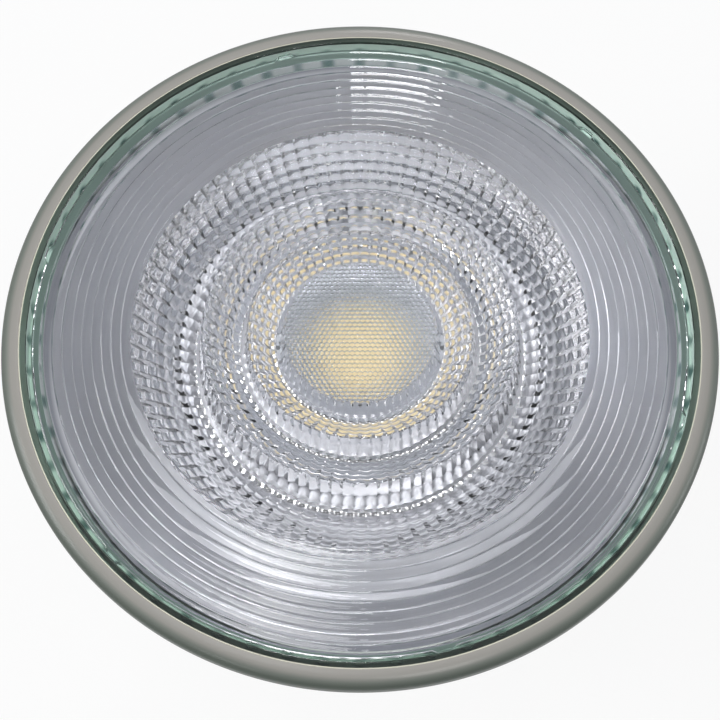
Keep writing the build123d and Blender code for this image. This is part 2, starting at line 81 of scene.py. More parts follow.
def linear(colour: str) -> tuple[float, float, float, float]:
    """Turn an sRGB hex colour into linear values.

    Args:
        colour: six hex digits, such as "a0b0c0".

    Returns:
        Linear red, green and blue, and an alpha of 1.
    """
    parts = [int(colour[i : i + 2], 16) / 255 for i in (0, 2, 4)]
    straight = [c / 12.92 if c <= 0.04045 else ((c + 0.055) / 1.055) ** 2.4 for c in parts]
    return (straight[0], straight[1], straight[2], 1.0)


def add_node(
    tree: Tree,
    kind: str,
    settings: dict[str | int, object] | None = None,
    links: dict[str | int, Socket] | None = None,
) -> bpy.types.Node:
    """Add one node with its settings and its incoming links.

    Args:
        tree: the node tree that takes the node.
        kind: Blender's name of the node type.
        settings: values by attribute name, or by the name or number of an input socket.
        links: output sockets by the name or number of the input socket that they feed.

    Returns:
        The new node.
    """
    node = tree.nodes.new(kind)
    for key, value in (settings or {}).items():
        if isinstance(key, str) and hasattr(node, key):
            setattr(node, key, value)
        else:
            node.inputs[key].default_value = value
    for key, socket in (links or {}).items():
        tree.links.new(socket, node.inputs[key])
    return node


def math_node(tree: Tree, operation: str, *values: float | Socket) -> Socket:
    """Add one step of arithmetic.

    Args:
        tree: the node tree.
        operation: the Math node's operation.
        values: its inputs in order, each a number or an output socket.

    Returns:
        The result's socket.
    """
    numbers = {i: v for i, v in enumerate(values) if not isinstance(v, Socket)}
    sockets = {i: v for i, v in enumerate(values) if isinstance(v, Socket)}
    return add_node(tree, "ShaderNodeMath", {"operation": operation, **numbers}, sockets).outputs[0]


def new_material(name: str) -> tuple[bpy.types.Material, Tree, bpy.types.Node]:
    """Make a node material that holds only its output node.

    Args:
        name: the material's name.

    Returns:
        The material, its tree and the output node.
    """
    material = bpy.data.materials.new(name)
    material.use_nodes = True
    tree = material.node_tree
    tree.nodes.clear()
    return material, tree, tree.nodes.new("ShaderNodeOutputMaterial")


def object_place(tree: Tree) -> Socket:
    """Give object coordinates, which are the frame's own, in metres.

    Args:
        tree: the material's tree.

    Returns:
        The coordinates' socket.
    """
    return add_node(tree, "ShaderNodeTexCoord").outputs["Object"]


def cylinder_place(tree: Tree, place: Socket) -> tuple[Socket, Socket]:
    """Split a place into its distance from the lamp's axis and its height.

    Args:
        tree: the material's tree.
        place: object coordinates.

    Returns:
        Sockets of the distance and the height.
    """
    split = add_node(tree, "ShaderNodeSeparateXYZ", links={0: place})
    flat = add_node(tree, "ShaderNodeCombineXYZ", links={0: split.outputs[0], 1: split.outputs[1]})
    reach = add_node(tree, "ShaderNodeVectorMath", {"operation": "LENGTH"}, {0: flat.outputs[0]})
    return reach.outputs["Value"], split.outputs[2]


def blend(tree: Tree, first: str | Socket, second: str, share: Socket) -> Socket:
    """Mix two colours by a share from 0 to 1.

    Args:
        tree: the material's tree.
        first: the colour at 0, as a hex colour or a socket.
        second: the hex colour at 1.
        share: how much of the second colour shows.

    Returns:
        The mixed colour's socket.
    """
    settings, links = {"data_type": "RGBA", 7: linear(second)}, {0: share}
    if isinstance(first, Socket):
        links[6] = first
    else:
        settings[6] = linear(first)
    return add_node(tree, "ShaderNodeMix", settings, links).outputs[2]


def bump(tree: Tree, height: Socket, depth_mm: float) -> Socket:
    """Turn a relief into a normal.

    Args:
        tree: the material's tree.
        height: the relief, from 0 to 1.
        depth_mm: how many millimetres a height of 1 is worth.

    Returns:
        The normal's socket.
    """
    return add_node(tree, "ShaderNodeBump", {"Distance": depth_mm * MM}, {"Height": height}).outputs[0]


def noise(tree: Tree, place: Socket, size_mm: float, detail: float) -> Socket:
    """Add noise whose blotches have a size in millimetres.

    Args:
        tree: the material's tree.
        place: object coordinates.
        size_mm: rough size of a blotch.
        detail: how many finer layers lie over it.

    Returns:
        A value socket, 0 to 1.
    """
    settings = {"Scale": 1 / (size_mm * MM), "Detail": detail}
    return add_node(tree, "ShaderNodeTexNoise", settings, {"Vector": place}).outputs[0]


def let_light_through(tree: Tree, shader: Socket, colour: str) -> Socket:
    """Make a surface transparent to rays from the lights, so that what lies behind it is lit.

    Args:
        tree: the material's tree.
        shader: the surface that all other rays see.
        colour: hex colour that the light takes on.

    Returns:
        The mixed shader's socket.
    """
    gap = add_node(tree, "ShaderNodeBsdfTransparent", {"Color": linear(colour)})
    path = add_node(tree, "ShaderNodeLightPath")
    links = {0: path.outputs["Is Shadow Ray"], 1: shader, 2: gap.outputs[0]}
    return add_node(tree, "ShaderNodeMixShader", links=links).outputs[0]


# Meshes


def mesh_from(
    name: str, points: np.ndarray, faces: np.ndarray, sharp: float | None = None, weld: float = 0.0
) -> bpy.types.Object:
    """Make a mesh object from points in millimetres and quad faces.

    Args:
        name: the piece's name.
        points: n by 3 array.
        faces: m by 4 array of point numbers.
        sharp: edges that turn by more than this many degrees stay sharp; None smooths them all.
        weld: points closer than this many millimetres are merged, which closes poles and seams.

    Returns:
        The linked object, at the origin.
    """
    mesh = bpy.data.meshes.new(name)
    mesh.from_pydata((points * MM).tolist(), [], faces.tolist())
    if weld > 0:
        work = bmesh.new()
        work.from_mesh(mesh)
        bmesh.ops.remove_doubles(work, verts=work.verts, dist=weld * MM)
        bmesh.ops.recalc_face_normals(work, faces=work.faces)
        work.to_mesh(mesh)
        work.free()
    mesh.polygons.foreach_set("use_smooth", np.ones(len(mesh.polygons), bool))
    if sharp is not None:
        mesh.set_sharp_from_angle(angle=math.radians(sharp))
    mesh.update()
    piece = bpy.data.objects.new(name, mesh)
    bpy.context.scene.collection.objects.link(piece)
    return piece


def ring_faces(rows: int, columns: int, closed: bool = False) -> np.ndarray:
    """Quads of a grid whose columns close round the axis.

    Args:
        rows: points along the section.
        columns: points round the axis.
        closed: whether the section's last point joins its first.

    Returns:
        Array of quads, four point numbers each.
    """
    r, c = np.meshgrid(np.arange(rows if closed else rows - 1), np.arange(columns), indexing="ij")
    r_next, c_next = (r + 1) % rows, (c + 1) % columns
    corners = (r * columns + c, r * columns + c_next, r_next * columns + c_next, r_next * columns + c)
    return np.stack(corners, -1).reshape(-1, 4)


def full_turn(columns: int) -> np.ndarray:
    """Give the angles of evenly spaced columns over one turn.

    Args:
        columns: points round the axis.

    Returns:
        Their angles in radians, from 0.
    """
    return np.linspace(0, 2 * np.pi, columns, endpoint=False)


def turned(radius: np.ndarray, height: np.ndarray, columns: int) -> np.ndarray:
    """Points of a surface of revolution: (radius cos t, radius sin t, height) over a full turn.

    Args:
        radius: radii by section point, or by section point and column.
        height: heights in the same form.
        columns: points round the axis.

    Returns:
        n by 3 array, section point by section point.
    """
    turn = full_turn(columns)
    radius = np.broadcast_to(radius.reshape(len(radius), -1), (len(radius), columns))
    height = np.broadcast_to(height.reshape(len(height), -1), (len(height), columns))
    return np.stack([radius * np.cos(turn), radius * np.sin(turn), height], -1).reshape(-1, 3)


def arc(
    centre: tuple[float, float], radii: tuple[float, float], start: float, end: float, count: int
) -> np.ndarray:
    """Points on an ellipse: centre + (a cos t, b sin t).

    Args:
        centre: radius and height of the ellipse's centre.
        radii: its half-axes a and b.
        start: first angle in degrees.
        end: last angle in degrees.
        count: how many points.

    Returns:
        count by 2 array of radius and height.
    """
    t = np.radians(np.linspace(start, end, count))
    return np.stack([centre[0] + radii[0] * np.cos(t), centre[1] + radii[1] * np.sin(t)], -1)


def within(turn: np.ndarray, count: int, first: float, half_width: float) -> np.ndarray:
    """Distance from the nearest of some evenly spaced marks round the axis, as a share of a half width.

    Args:
        turn: angles in radians.
        count: how many marks there are in a turn.
        first: angle of one mark, in degrees.
        half_width: half of a mark's width, in degrees.

    Returns:
        0 in the middle of a mark and 1 at its edge.
    """
    pitch = 360 / count
    off = np.mod(np.degrees(turn) - first + pitch / 2, pitch) - pitch / 2
    return np.abs(off) / half_width


# Finishes


class Grain(Enum):
    """What gives a surface its fine relief."""

    MOULDED = "fine spark-eroded mould texture"
    SPUN = "rings left by pressing and spinning"
    SINTERED = "grainy ceramic or cement"
    SMOOTH = "faint waviness only"
    BOARD = "woven glass cloth under lacquer"


@dataclass(frozen=True)
class Finish:
    """One opaque finish, with two colours that drift into each other, uneven gloss and a relief."""

    name: str
    colour: str
    shade: str
    roughness: tuple[float, float]
    grain: Grain
    grain_mm: float
    relief_mm: float
    metallic: float = 0.0
    coat: float = 0.0
    drift_mm: float = 9.0
    # a colour painted outside a radius: painted shade, used under the lens edge
    edge: tuple[float, str] | None = None
    shade_soft_mm: float = 0.3
    wave_factor: float = 20.0  # Blender's wave texture multiplies its scale by this

    def relief(self, tree: Tree, place: Socket) -> Socket:
        """Height of the relief, 0 to 1.

        Args:
            tree: the material's tree.
            place: object coordinates.

        Returns:
            A value socket.
        """
        scale = 1 / (self.grain_mm * MM)
        if self.grain is Grain.SPUN:
            reach, height = cylinder_place(tree, place)
            line = add_node(tree, "ShaderNodeCombineXYZ", links={0: reach, 1: height})
            settings = {"noise_dimensions": "2D", "Scale": scale, "Detail": 3.0, "Roughness": 0.6}
            return add_node(tree, "ShaderNodeTexNoise", settings, {"Vector": line.outputs[0]}).outputs[0]
        if self.grain is Grain.BOARD:
            cloth = []
            for way in ("X", "Y"):
                settings = {"bands_direction": way, "Scale": scale / self.wave_factor, "Distortion": 0.4}
                cloth.append(add_node(tree, "ShaderNodeTexWave", settings, {"Vector": place}).outputs[1])
            return math_node(tree, "MULTIPLY", *cloth)
        if self.grain is Grain.SINTERED:
            settings = {"Scale": scale, "Detail": 2.0}
            return add_node(tree, "ShaderNodeTexVoronoi", settings, {"Vector": place}).outputs[0]
        return noise(tree, place, self.grain_mm, detail=1.5 if self.grain is Grain.SMOOTH else 5.0)

    def build(self) -> bpy.types.Material:
        """Make the material.

        Returns:
            The material, ready to go on a piece.
        """
        material, tree, out = new_material(self.name)
        place = object_place(tree)
        relief = self.relief(tree, place)
        low, high = self.roughness
        settings = {"To Min": low, "To Max": high}
        gloss = add_node(tree, "ShaderNodeMapRange", settings, {"Value": relief}).outputs[0]
        tint = blend(tree, self.colour, self.shade, noise(tree, place, self.drift_mm, detail=3.0))
        # Painted shade: a darker colour outside a radius, where the piece lies under another
        if self.edge:
            radius, colour = self.edge
            reach, _ = cylinder_place(tree, place)
            settings = {
                "From Min": (radius - self.shade_soft_mm) * MM,
                "From Max": (radius + self.shade_soft_mm) * MM,
            }
            share = add_node(tree, "ShaderNodeMapRange", settings, {"Value": reach}).outputs[0]
            tint = blend(tree, tint, colour, share)
        links = {
            "Base Color": tint,
            "Roughness": gloss,
            "Normal": bump(tree, relief, self.relief_mm),
        }
        settings = {"Metallic": self.metallic, "Coat Weight": self.coat, "Coat Roughness": 0.1}
        shader = add_node(tree, "ShaderNodeBsdfPrincipled", settings, links)
        tree.links.new(shader.outputs[0], out.inputs["Surface"])
        return material


@dataclass(frozen=True)
class ClearFinish:
    """Clear glass or plastic. Rays from the lights pass through it, so that what lies behind it is lit."""

    name: str
    colour: str
    light_colour: str
    ior: float
    roughness: float = 0.0
    absorb: str = "ffffff"
    density: float = 0.0
    wave_mm: float = 6.0
    wave_relief_mm: float = 0.01

    def normal(self, tree: Tree) -> Socket:
        """Make the slow waviness of the pressed surface.

        Args:
            tree: the material's tree.

        Returns:
            The normal's socket.
        """
        wave = noise(tree, object_place(tree), self.wave_mm, detail=1.5)
        return bump(tree, wave, self.wave_relief_mm)

    def build(self) -> bpy.types.Material:
        """Make the material.

        Returns:
            The material, ready to go on a piece.
        """
        material, tree, out = new_material(self.name)
        settings = {
            "Base Color": linear(self.colour),
            "IOR": self.ior,
            "Roughness": self.roughness,
            "Transmission Weight": 1.0,
        }
        shader = add_node(tree, "ShaderNodeBsdfPrincipled", settings, {"Normal": self.normal(tree)})
        tree.links.new(let_light_through(tree, shader.outputs[0], self.light_colour), out.inputs["Surface"])
        if self.density:
            settings = {"Color": linear(self.absorb), "Density": self.density}
            body = add_node(tree, "ShaderNodeVolumeAbsorption", settings)
            tree.links.new(body.outputs[0], out.inputs["Volume"])
        return material


@dataclass(frozen=True)
class LensFinish(ClearFinish):
    """Clear acrylic whose middle disc has rows of small round lenses moulded on its back."""

    pitch_mm: float = 0.79
    cap_height_mm: float = 0.2
    disc_radius_mm: float = 11.65
    disc_top_mm: float = 2.4
    cells_to_side: int = 100  # added to the count of cells, which keeps it above zero

    def normal(self, tree: Tree) -> Socket:
        """Make staggered rows of round caps: 1 - 3 d^2, with d in pitches from the nearest cap's middle.

        Args:
            tree: the material's tree.

        Returns:
            The normal's socket.
        """
        place = object_place(tree)
        split = add_node(tree, "ShaderNodeSeparateXYZ", links={0: place})
        squares = []
        for shift in (0.0, 0.5):
            parts = []
            for axis, stretch in ((0, 1.0), (1, math.sqrt(3))):
                per_metre, start = 1 / (self.pitch_mm * MM * stretch), shift + self.cells_to_side
                cell = math_node(tree, "MULTIPLY_ADD", split.outputs[axis], per_metre, start)
                off = math_node(tree, "MULTIPLY_ADD", math_node(tree, "FRACT", cell), stretch, -stretch / 2)
                parts.append(math_node(tree, "MULTIPLY", off, off))
            squares.append(math_node(tree, "ADD", *parts))
        cap = math_node(tree, "MULTIPLY_ADD", math_node(tree, "MINIMUM", *squares), -3.0, 1.0)
        reach, height = cylinder_place(tree, place)
        inside = math_node(tree, "LESS_THAN", reach, self.disc_radius_mm * MM)
        behind = math_node(tree, "LESS_THAN", height, self.disc_top_mm * MM)
        shown = math_node(tree, "MULTIPLY", inside, behind)
        return bump(tree, math_node(tree, "MULTIPLY", cap, shown), self.cap_height_mm)


@dataclass(frozen=True)
class GroundFinish:
    """Ground, matt glass: its colour changes with distance from the axis, and dark blotches of painted shade,
    one at each flute, may lie round it.
    """

    name: str
    bands: tuple[tuple[float, str], ...]
    below: tuple[float, str]
    roughness: float = 0.65
    coat: float = 0.0
    light_colour: str = "e6ebe8"
    # Painted shade: dark blotches round the wall, one at each flute, set by the fields from here down to marks
    flute_shade_colour: str = "486660"
    flute_shade_reach_mm: float = 52.0
    flute_shade_top_mm: float = 0.6
    flute_shade_fade_mm: float = 1.0
    flute_shade_blotch_mm: float = 4.0
    flute_shade_level: float = 0.45
    flute_shade_full: float = 0.7
    marks: int = 0
    grit_mm: float = 0.25
    grit_relief_mm: float = 0.02

    def painted_flute_shade(self, tree: Tree, place: Socket, reach: Socket) -> Socket:
        """Give the painted flute shade's strength: a soft step of cos(n t) / 2 plus noise, so that the
        blotches are uneven in size.

        Args:
            tree: the material's tree.
            place: object coordinates.
            reach: distance from the axis.

        Returns:
            A value socket, 0 to 1.
        """
        split = add_node(tree, "ShaderNodeSeparateXYZ", links={0: place})
        angle = math_node(tree, "ARCTAN2", split.outputs[1], split.outputs[0])
        turn = math_node(tree, "MULTIPLY", angle, self.marks)
        blotches = noise(tree, place, self.flute_shade_blotch_mm, detail=2.0)
        uneven = math_node(tree, "SUBTRACT", blotches, self.flute_shade_level)
        hump = math_node(tree, "MULTIPLY_ADD", math_node(tree, "COSINE", turn), 0.5, uneven)
        settings = {"interpolation_type": "SMOOTHSTEP", "From Min": 0.0, "From Max": self.flute_shade_full}
        soft = add_node(tree, "ShaderNodeMapRange", settings, {"Value": hump}).outputs[0]
        fade_end = self.flute_shade_top_mm - self.flute_shade_fade_mm
        settings = {"From Min": self.flute_shade_top_mm * MM, "From Max": fade_end * MM}
        low = add_node(tree, "ShaderNodeMapRange", settings, {"Value": split.outputs[2]}).outputs[0]
        inside = math_node(tree, "LESS_THAN", reach, self.flute_shade_reach_mm * MM)
        return math_node(tree, "MULTIPLY", soft, math_node(tree, "MULTIPLY", low, inside))

    def build(self) -> bpy.types.Material:
        """Make the material.

        Returns:
            The material, ready to go on a piece.
        """
        material, tree, out = new_material(self.name)
        place = object_place(tree)
        reach, height = cylinder_place(tree, place)
        low, high = self.bands[0][0], self.bands[-1][0]
        settings = {"From Min": low * MM, "From Max": high * MM}
        share = add_node(tree, "ShaderNodeMapRange", settings, {"Value": reach})
        ramp = add_node(tree, "ShaderNodeValToRGB", links={0: share.outputs[0]})
        stops = ramp.color_ramp.elements
        for number, (radius, colour) in enumerate(self.bands):
            spot = (radius - low) / (high - low)
            between = 0 < number < len(self.bands) - 1
            stop = stops.new(spot) if between else stops[0 if number == 0 else -1]
            stop.position, stop.color = spot, linear(colour)
        level, colour = self.below
        tint = blend(tree, ramp.outputs[0], colour, math_node(tree, "LESS_THAN", height, level * MM))
        # Painted shade: dark blotches at the flutes stand in for the shade of the fluted wall in the glass
        if self.marks:
            tint = blend(tree, tint, self.flute_shade_colour, self.painted_flute_shade(tree, place, reach))
        grit = noise(tree, place, self.grit_mm, detail=4.0)
        links = {"Base Color": tint, "Normal": bump(tree, grit, self.grit_relief_mm)}
        settings = {"Roughness": self.roughness, "Coat Weight": self.coat, "Coat Roughness": 0.15}
        shader = add_node(tree, "ShaderNodeBsdfPrincipled", settings, links)
        tree.links.new(let_light_through(tree, shader.outputs[0], self.light_colour), out.inputs["Surface"])
        return material


# Soda-lime glass: nearly clear across the wall, green where it is looked into edge on
PRESSED_GLASS = ClearFinish(
    "pressed_glass",
    "f6faf8",
    "eef4f0",
    1.52,
    roughness=0.02,
    absorb="94b8a4",
    density=50.0,
    wave_relief_mm=0.03,
)
# Polished acrylic: reflections inside the teeth make them look like silver
CLEAR_ACRYLIC = LensFinish("clear_acrylic", "fdfdff", "eaecef", 1.49)
# Ground glass under the clear flat ring: mint beside the lens; greyer and darker further out and below the
# bead, which is painted shade under the bead; with dark blotches of painted shade at the flutes
GROUND = GroundFinish(
    "ground_glass",
    (
        (50.0, "a8aeac"),
        (50.3, "b8cec2"),
        (51.4, "b8cec2"),
        (52.0, "d4e8dc"),
        (53.1, "d4e8dc"),
        # painted shade under the bead from here outwards
        (53.5, "a3b5aa"),
        (53.9, "74827a"),
    ),
    # painted shade below the bead
    below=(-2.3, "8a9c92"),
    marks=60,
)
# The bead's frosted outside: warm grey and matt with a soft shine, a pale line of painted highlight at its
# inner crease, and greener towards its widest line, where more of the glass shows through, and darker there
# and underneath as painted shade
FROSTED = GroundFinish(
    "frosted_glass",
    (
        # painted highlight: the pale line at the crease
        (52.5, "e6e6d6"),
        (52.62, "e6e6d6"),
        (52.7, "aaa6a0"),
        (53.9, "9c9a93"),
        # darker and greener outwards: the glass's green together with painted shade
        (54.6, "757b73"),
        (55.3, "525b52"),
    ),
    # painted shade underneath the bead
    below=(-0.2, "48524a"),
    roughness=0.5,
    coat=0.2,
)
# Satin pressed sheet: the soft grey seen through the ribbed ring, with painted shade making it darker where it
# lies under the lens edge
ALUMINIUM = Finish(
    "pressed_aluminium",
    "d4d4d5",
    "c8c9cc",
    (0.3, 0.4),
    Grain.SPUN,
    0.5,
    0.004,
    metallic=1.0,
    # painted shade under the lens edge
    edge=(48.0, "8e9095"),
)
# Dull grey-green rubber that hardly shows under the lens edge
SILICONE = Finish("grey_silicone", "9db2a7", "92a69b", (0.55, 0.7), Grain.SMOOTH, 2.0, 0.01)
# The same rubber under the dust of the pressed sheet: without the green
PLUG = Finish("dusty_silicone", "a0a2a4", "94969a", (0.6, 0.75), Grain.MOULDED, 0.5, 0.01)
# Softer, darker rubber, matt as putty
PAD = Finish("thermal_pad", "8d9196", "83878d", (0.6, 0.75), Grain.MOULDED, 0.6, 0.01)
# Pale pressed board with a slight sheen
FILM = Finish("insulating_film", "cfcaba", "c3bda9", (0.45, 0.6), Grain.SMOOTH, 3.0, 0.02)
# White glazed ceramic round the phosphor
SUBSTRATE = Finish("white_ceramic", "d6d7d6", "cccdcb", (0.3, 0.45), Grain.SINTERED, 0.3, 0.004)
# Pale satin bead round the phosphor
DAM = Finish("white_silicone", "b4b2ac", "a8a6a0", (0.35, 0.5), Grain.SMOOTH, 1.0, 0.01)
# Filled silicone: the warm patch behind the middle disc
PHOSPHOR = Finish(
    "yellow_phosphor", "e8d3a2", "dec790", (0.5, 0.65), Grain.SINTERED, 0.12, 0.01,
    drift_mm=3.0,
)
# Grey moulding, satin
HOLDER = Finish("grey_moulding", "989a9e", "8f9195", (0.4, 0.55), Grain.MOULDED, 0.35, 0.01)
# Bright steel with a faint yellow cast in places
ZINC = Finish(
    "zinc_plated_steel", "c8cacc", "b8b9b2", (0.35, 0.5), Grain.SMOOTH, 1.2, 0.004,
    metallic=1.0, drift_mm=4.0,
)
# The same steel gone dull, so that it stays pale where little light reaches it
DULL_ZINC = Finish(
    "dull_zinc", "b4b6b8", "a9abae", (0.55, 0.7), Grain.SMOOTH, 1.2, 0.004,
    metallic=0.3, drift_mm=4.0,
)
# Warm bright plating
NICKEL = Finish(
    "nickel_plated_brass", "c0baa8", "aea58e", (0.2, 0.38), Grain.SMOOTH, 1.6, 0.006,
    metallic=1.0, drift_mm=5.0,
)
# Extruded plastic with a soft sheen
GREY_SLEEVE = Finish("grey_wire_sleeve", "85878a", "7a7c80", (0.35, 0.5), Grain.SMOOTH, 2.0, 0.02)
WHITE_SLEEVE = Finish("white_wire_sleeve", "c6c6c2", "babab5", (0.35, 0.5), Grain.SMOOTH, 2.0, 0.02)
# Chalky, grainy fill
CEMENT = Finish("lamp_cement", "b9b3a4", "a59e8d", (0.8, 0.95), Grain.SINTERED, 0.6, 0.08, drift_mm=4.0)
# Satin thermoplastic with the fine texture of its mould
BASE = Finish("base_moulding", "c4c4c1", "b9b9b5", (0.42, 0.56), Grain.MOULDED, 0.3, 0.012, drift_mm=20.0)
# Green lacquer over glass cloth, whose weave is drawn coarser than the real one so that it shows
BOARD = Finish("circuit_board", "1d5a2e", "174a25", (0.25, 0.35), Grain.BOARD, 0.5, 0.006, coat=0.4)
# Matt black epoxy
BLACK_BODY = Finish("black_component", "202124", "292a2d", (0.5, 0.65), Grain.MOULDED, 0.25, 0.008)
# Shrunk dark blue film, glossy
SLEEVE = Finish("capacitor_sleeve", "23283a", "1c2130", (0.25, 0.35), Grain.SMOOTH, 4.0, 0.02, coat=0.3)
# Dark sintered stone look
FERRITE = Finish("ferrite", "34312f", "2a2826", (0.6, 0.8), Grain.SINTERED, 0.3, 0.02)
# Lacquered wire, with a line for each turn
COPPER = Finish(
    "copper_winding", "a55a32", "8f4925", (0.25, 0.4), Grain.SPUN, 0.35, 0.03,
    metallic=1.0, coat=0.4,
)
# Dipped ochre epoxy
FILM_CASE = Finish("film_capacitor_case", "b0762c", "9d6724", (0.3, 0.45), Grain.SMOOTH, 1.5, 0.03, coat=0.3)
# Dipped red-brown epoxy
FUSE = Finish("fuse_body", "8c3c26", "7c3320", (0.3, 0.42), Grain.SMOOTH, 1.5, 0.02, coat=0.3)


# The lamp


class GlassZone(IntEnum):
    """Material slots of the glass body."""

    CLEAR = 0
    GROUND = 1
    FROSTED = 2


@dataclass
class GlassBody:
    """Pressed-glass bowl with a rounded bead, a fluted inner wall, a ledge for the lens and a neck.

    Its shape is that of the CAD's glass_bowl, with the crease line inside the bead added.
    """

    rim_radius: float = 55.5
    rim_land: float = 1.0
    rim_round: tuple[float, float] = (2.9, 1.6)
    rim_start: float = 88.0
    rim_steps: int = 16
    rim_flat: float = 1.1
    under_round: float = 1.6
    wall: float = 2.6
    ledge: float = 1.8
    neck_radius: float = 29.0
    neck_shoulder: float = -29.0
    neck_length: float = 7.5
    neck_blend: float = 3.0
    neck_ease: float = 0.4
    bowl_steps: int = 24
    seat: float = -1.1
    seat_gap: float = 0.02
    wall_rows: tuple[float, float] = (1.0, 2.0)
    ground_depth: float = 3.0
    collar: float = 4.0
    bead_lip: float = 0.1
    edge_round: float = 0.3
    groove: float = 0.12
    flutes: int = 60
    flute_depth: float = 0.3
    flute_half_width: float = 1.02
    columns: int = 720

    @property
    def inner_rim(self) -> float:
        """Radius of the wall inside the rim."""
        return self.rim_radius - self.rim_round[0] - self.rim_flat

    @property
    def top(self) -> float:
        """Height of the rim's flat ring."""
        return self.rim_land / 2 + self.rim_round[1]

    @property
    def under(self) -> float:
        """Height of the bead's underside."""
        return -self.rim_land / 2 - self.under_round

    def sphere(self) -> tuple[float, float]:
        """Work out the sphere inside the bowl.

        Returns:
            Height of its centre, and its radius.
        """
        inner, neck = self.inner_rim - self.ledge, self.neck_radius - self.wall
        centre = (neck**2 + self.neck_shoulder**2 - inner**2 - self.seat**2) / (
            2 * (self.neck_shoulder - self.seat)
        )
        return centre, math.hypot(inner, self.seat - centre)

    def sphere_line(self, low: float, high: float, offset: float, count: int) -> np.ndarray:
        """Points of the bowl's section between two heights: r = sqrt(R^2 - (z - c)^2).

        Args:
            low: first height.
            high: last height.
            offset: distance of the line outside the inner sphere.
            count: how many points.

        Returns:
            count by 2 array of radius and height.
        """
        centre, radius = self.sphere()
        z = np.linspace(low, high, count)
        return np.stack([np.sqrt((radius + offset) ** 2 - (z - centre) ** 2), z], -1)

    def section(self) -> np.ndarray:
        """Give the closed section, from the inner rim outwards, down the outside and up the inside.

        Returns:
            n by 2 array of radius and height.
        """
        centre, radius = self.sphere()
        outer_neck = centre - math.sqrt((radius + self.wall) ** 2 - self.neck_radius**2)
        end, pull = self.neck_shoulder - self.neck_length, self.neck_blend * self.neck_ease
        small = self.edge_round
        neck_inner, ledge = self.neck_radius - self.wall, self.inner_rim - self.ledge
        crease = self.inner_rim + self.rim_flat
        return np.concatenate([
            np.array([[self.inner_rim, self.seat + row] for row in self.wall_rows]),
            arc((self.inner_rim + small, self.top - small), (small, small), 180, 90, 4),
            np.array([[crease - self.groove, self.top], [crease, self.top - self.groove]]),
            arc((crease, self.rim_land / 2), self.rim_round, self.rim_start, 0, self.rim_steps),
            arc((self.rim_radius - self.under_round, -self.rim_land / 2), (self.under_round,) * 2, 0, -90, 8),
            self.sphere_line(self.under, outer_neck + pull, self.wall, self.bowl_steps),
            np.array([[self.neck_radius, outer_neck - pull], [self.neck_radius, end + small]]),
            arc((self.neck_radius - small, end + small), (small, small), 0, -90, 3),
            np.array([[neck_inner, end], [neck_inner, self.neck_shoulder - pull]]),
            self.sphere_line(self.neck_shoulder + pull, self.seat - self.seat_gap, 0, self.bowl_steps),
            np.array([[ledge, self.seat], [self.inner_rim, self.seat]]),
        ])

    def build(self) -> bpy.types.Object:
        """Make the glass body; a flute deepens the inner wall by h (1 - d^2) round its middle.

        Returns:
            The glass body.
        """
        section = self.section()
        flute = np.clip(1 - within(full_turn(self.columns), self.flutes, 0, self.flute_half_width) ** 2, 0, 1)
        wall = (np.abs(section[:, 0] - self.inner_rim) < TOUCH) & (section[:, 1] > self.seat - TOUCH)
        fade = np.where(wall, np.clip((self.top - section[:, 1]) / (self.top - self.seat), 0, 1), 0)
        radius = section[:, :1] + self.flute_depth * fade[:, None] * flute
        points = turned(radius, section[:, 1:], self.columns)
        faces = ring_faces(len(section), self.columns, closed=True)
        piece = mesh_from("glass_body", points, faces, sharp=35, weld=0.001)
        self.dress(piece)
        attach(piece, BODY)
        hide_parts("glass_bowl")
        return piece

    def dress(self, piece: bpy.types.Object) -> None:
        """Dress the body in clear glass, the bead's outside in frosted and the faces under it in ground glass.

        Args:
            piece: the glass body.
        """
        mesh = piece.data
        centres, normals = np.empty(len(mesh.polygons) * 3), np.empty(len(mesh.polygons) * 3)
        mesh.polygons.foreach_get("center", centres)
        mesh.polygons.foreach_get("normal", normals)
        centres, normals = centres.reshape(-1, 3) / MM, normals.reshape(-1, 3)
        height, radius = centres[:, 2], np.hypot(centres[:, 0], centres[:, 1])
        outward = (centres[:, 0] * normals[:, 0] + centres[:, 1] * normals[:, 1]) / radius
        bead_end, flat_top = self.under + self.bead_lip, self.top - self.edge_round
        collar = (height < bead_end) & (height > self.under - self.collar) & (outward > -TOUCH)
        collar &= radius > self.neck_radius
        wall = (radius < self.inner_rim + self.flute_depth) & (height > self.seat) & (height < flat_top)
        ledge = (height < self.seat + TOUCH) & (height > self.seat - self.ground_depth) & (outward < TOUCH)
        ledge &= radius < self.inner_rim
        frosted = (radius > self.inner_rim + self.rim_flat - self.groove) & (height > bead_end)
        zone = np.full(len(mesh.polygons), GlassZone.CLEAR.value, np.int32)
        zone[collar | wall | ledge] = GlassZone.GROUND.value
        zone[frosted] = GlassZone.FROSTED.value
        mesh.polygons.foreach_set("material_index", zone)
        finishes = {GlassZone.CLEAR: PRESSED_GLASS, GlassZone.GROUND: GROUND, GlassZone.FROSTED: FROSTED}
        for slot in GlassZone:
            mesh.materials.append(finishes[slot].build())


@dataclass(frozen=True)
class Tooth:
    """One tooth of the lens: a fluted inner wall and a faceted outer flank."""

    foot_radius: float
    tip_radius: float
    crest_radius: float
    around: int
    rows: int


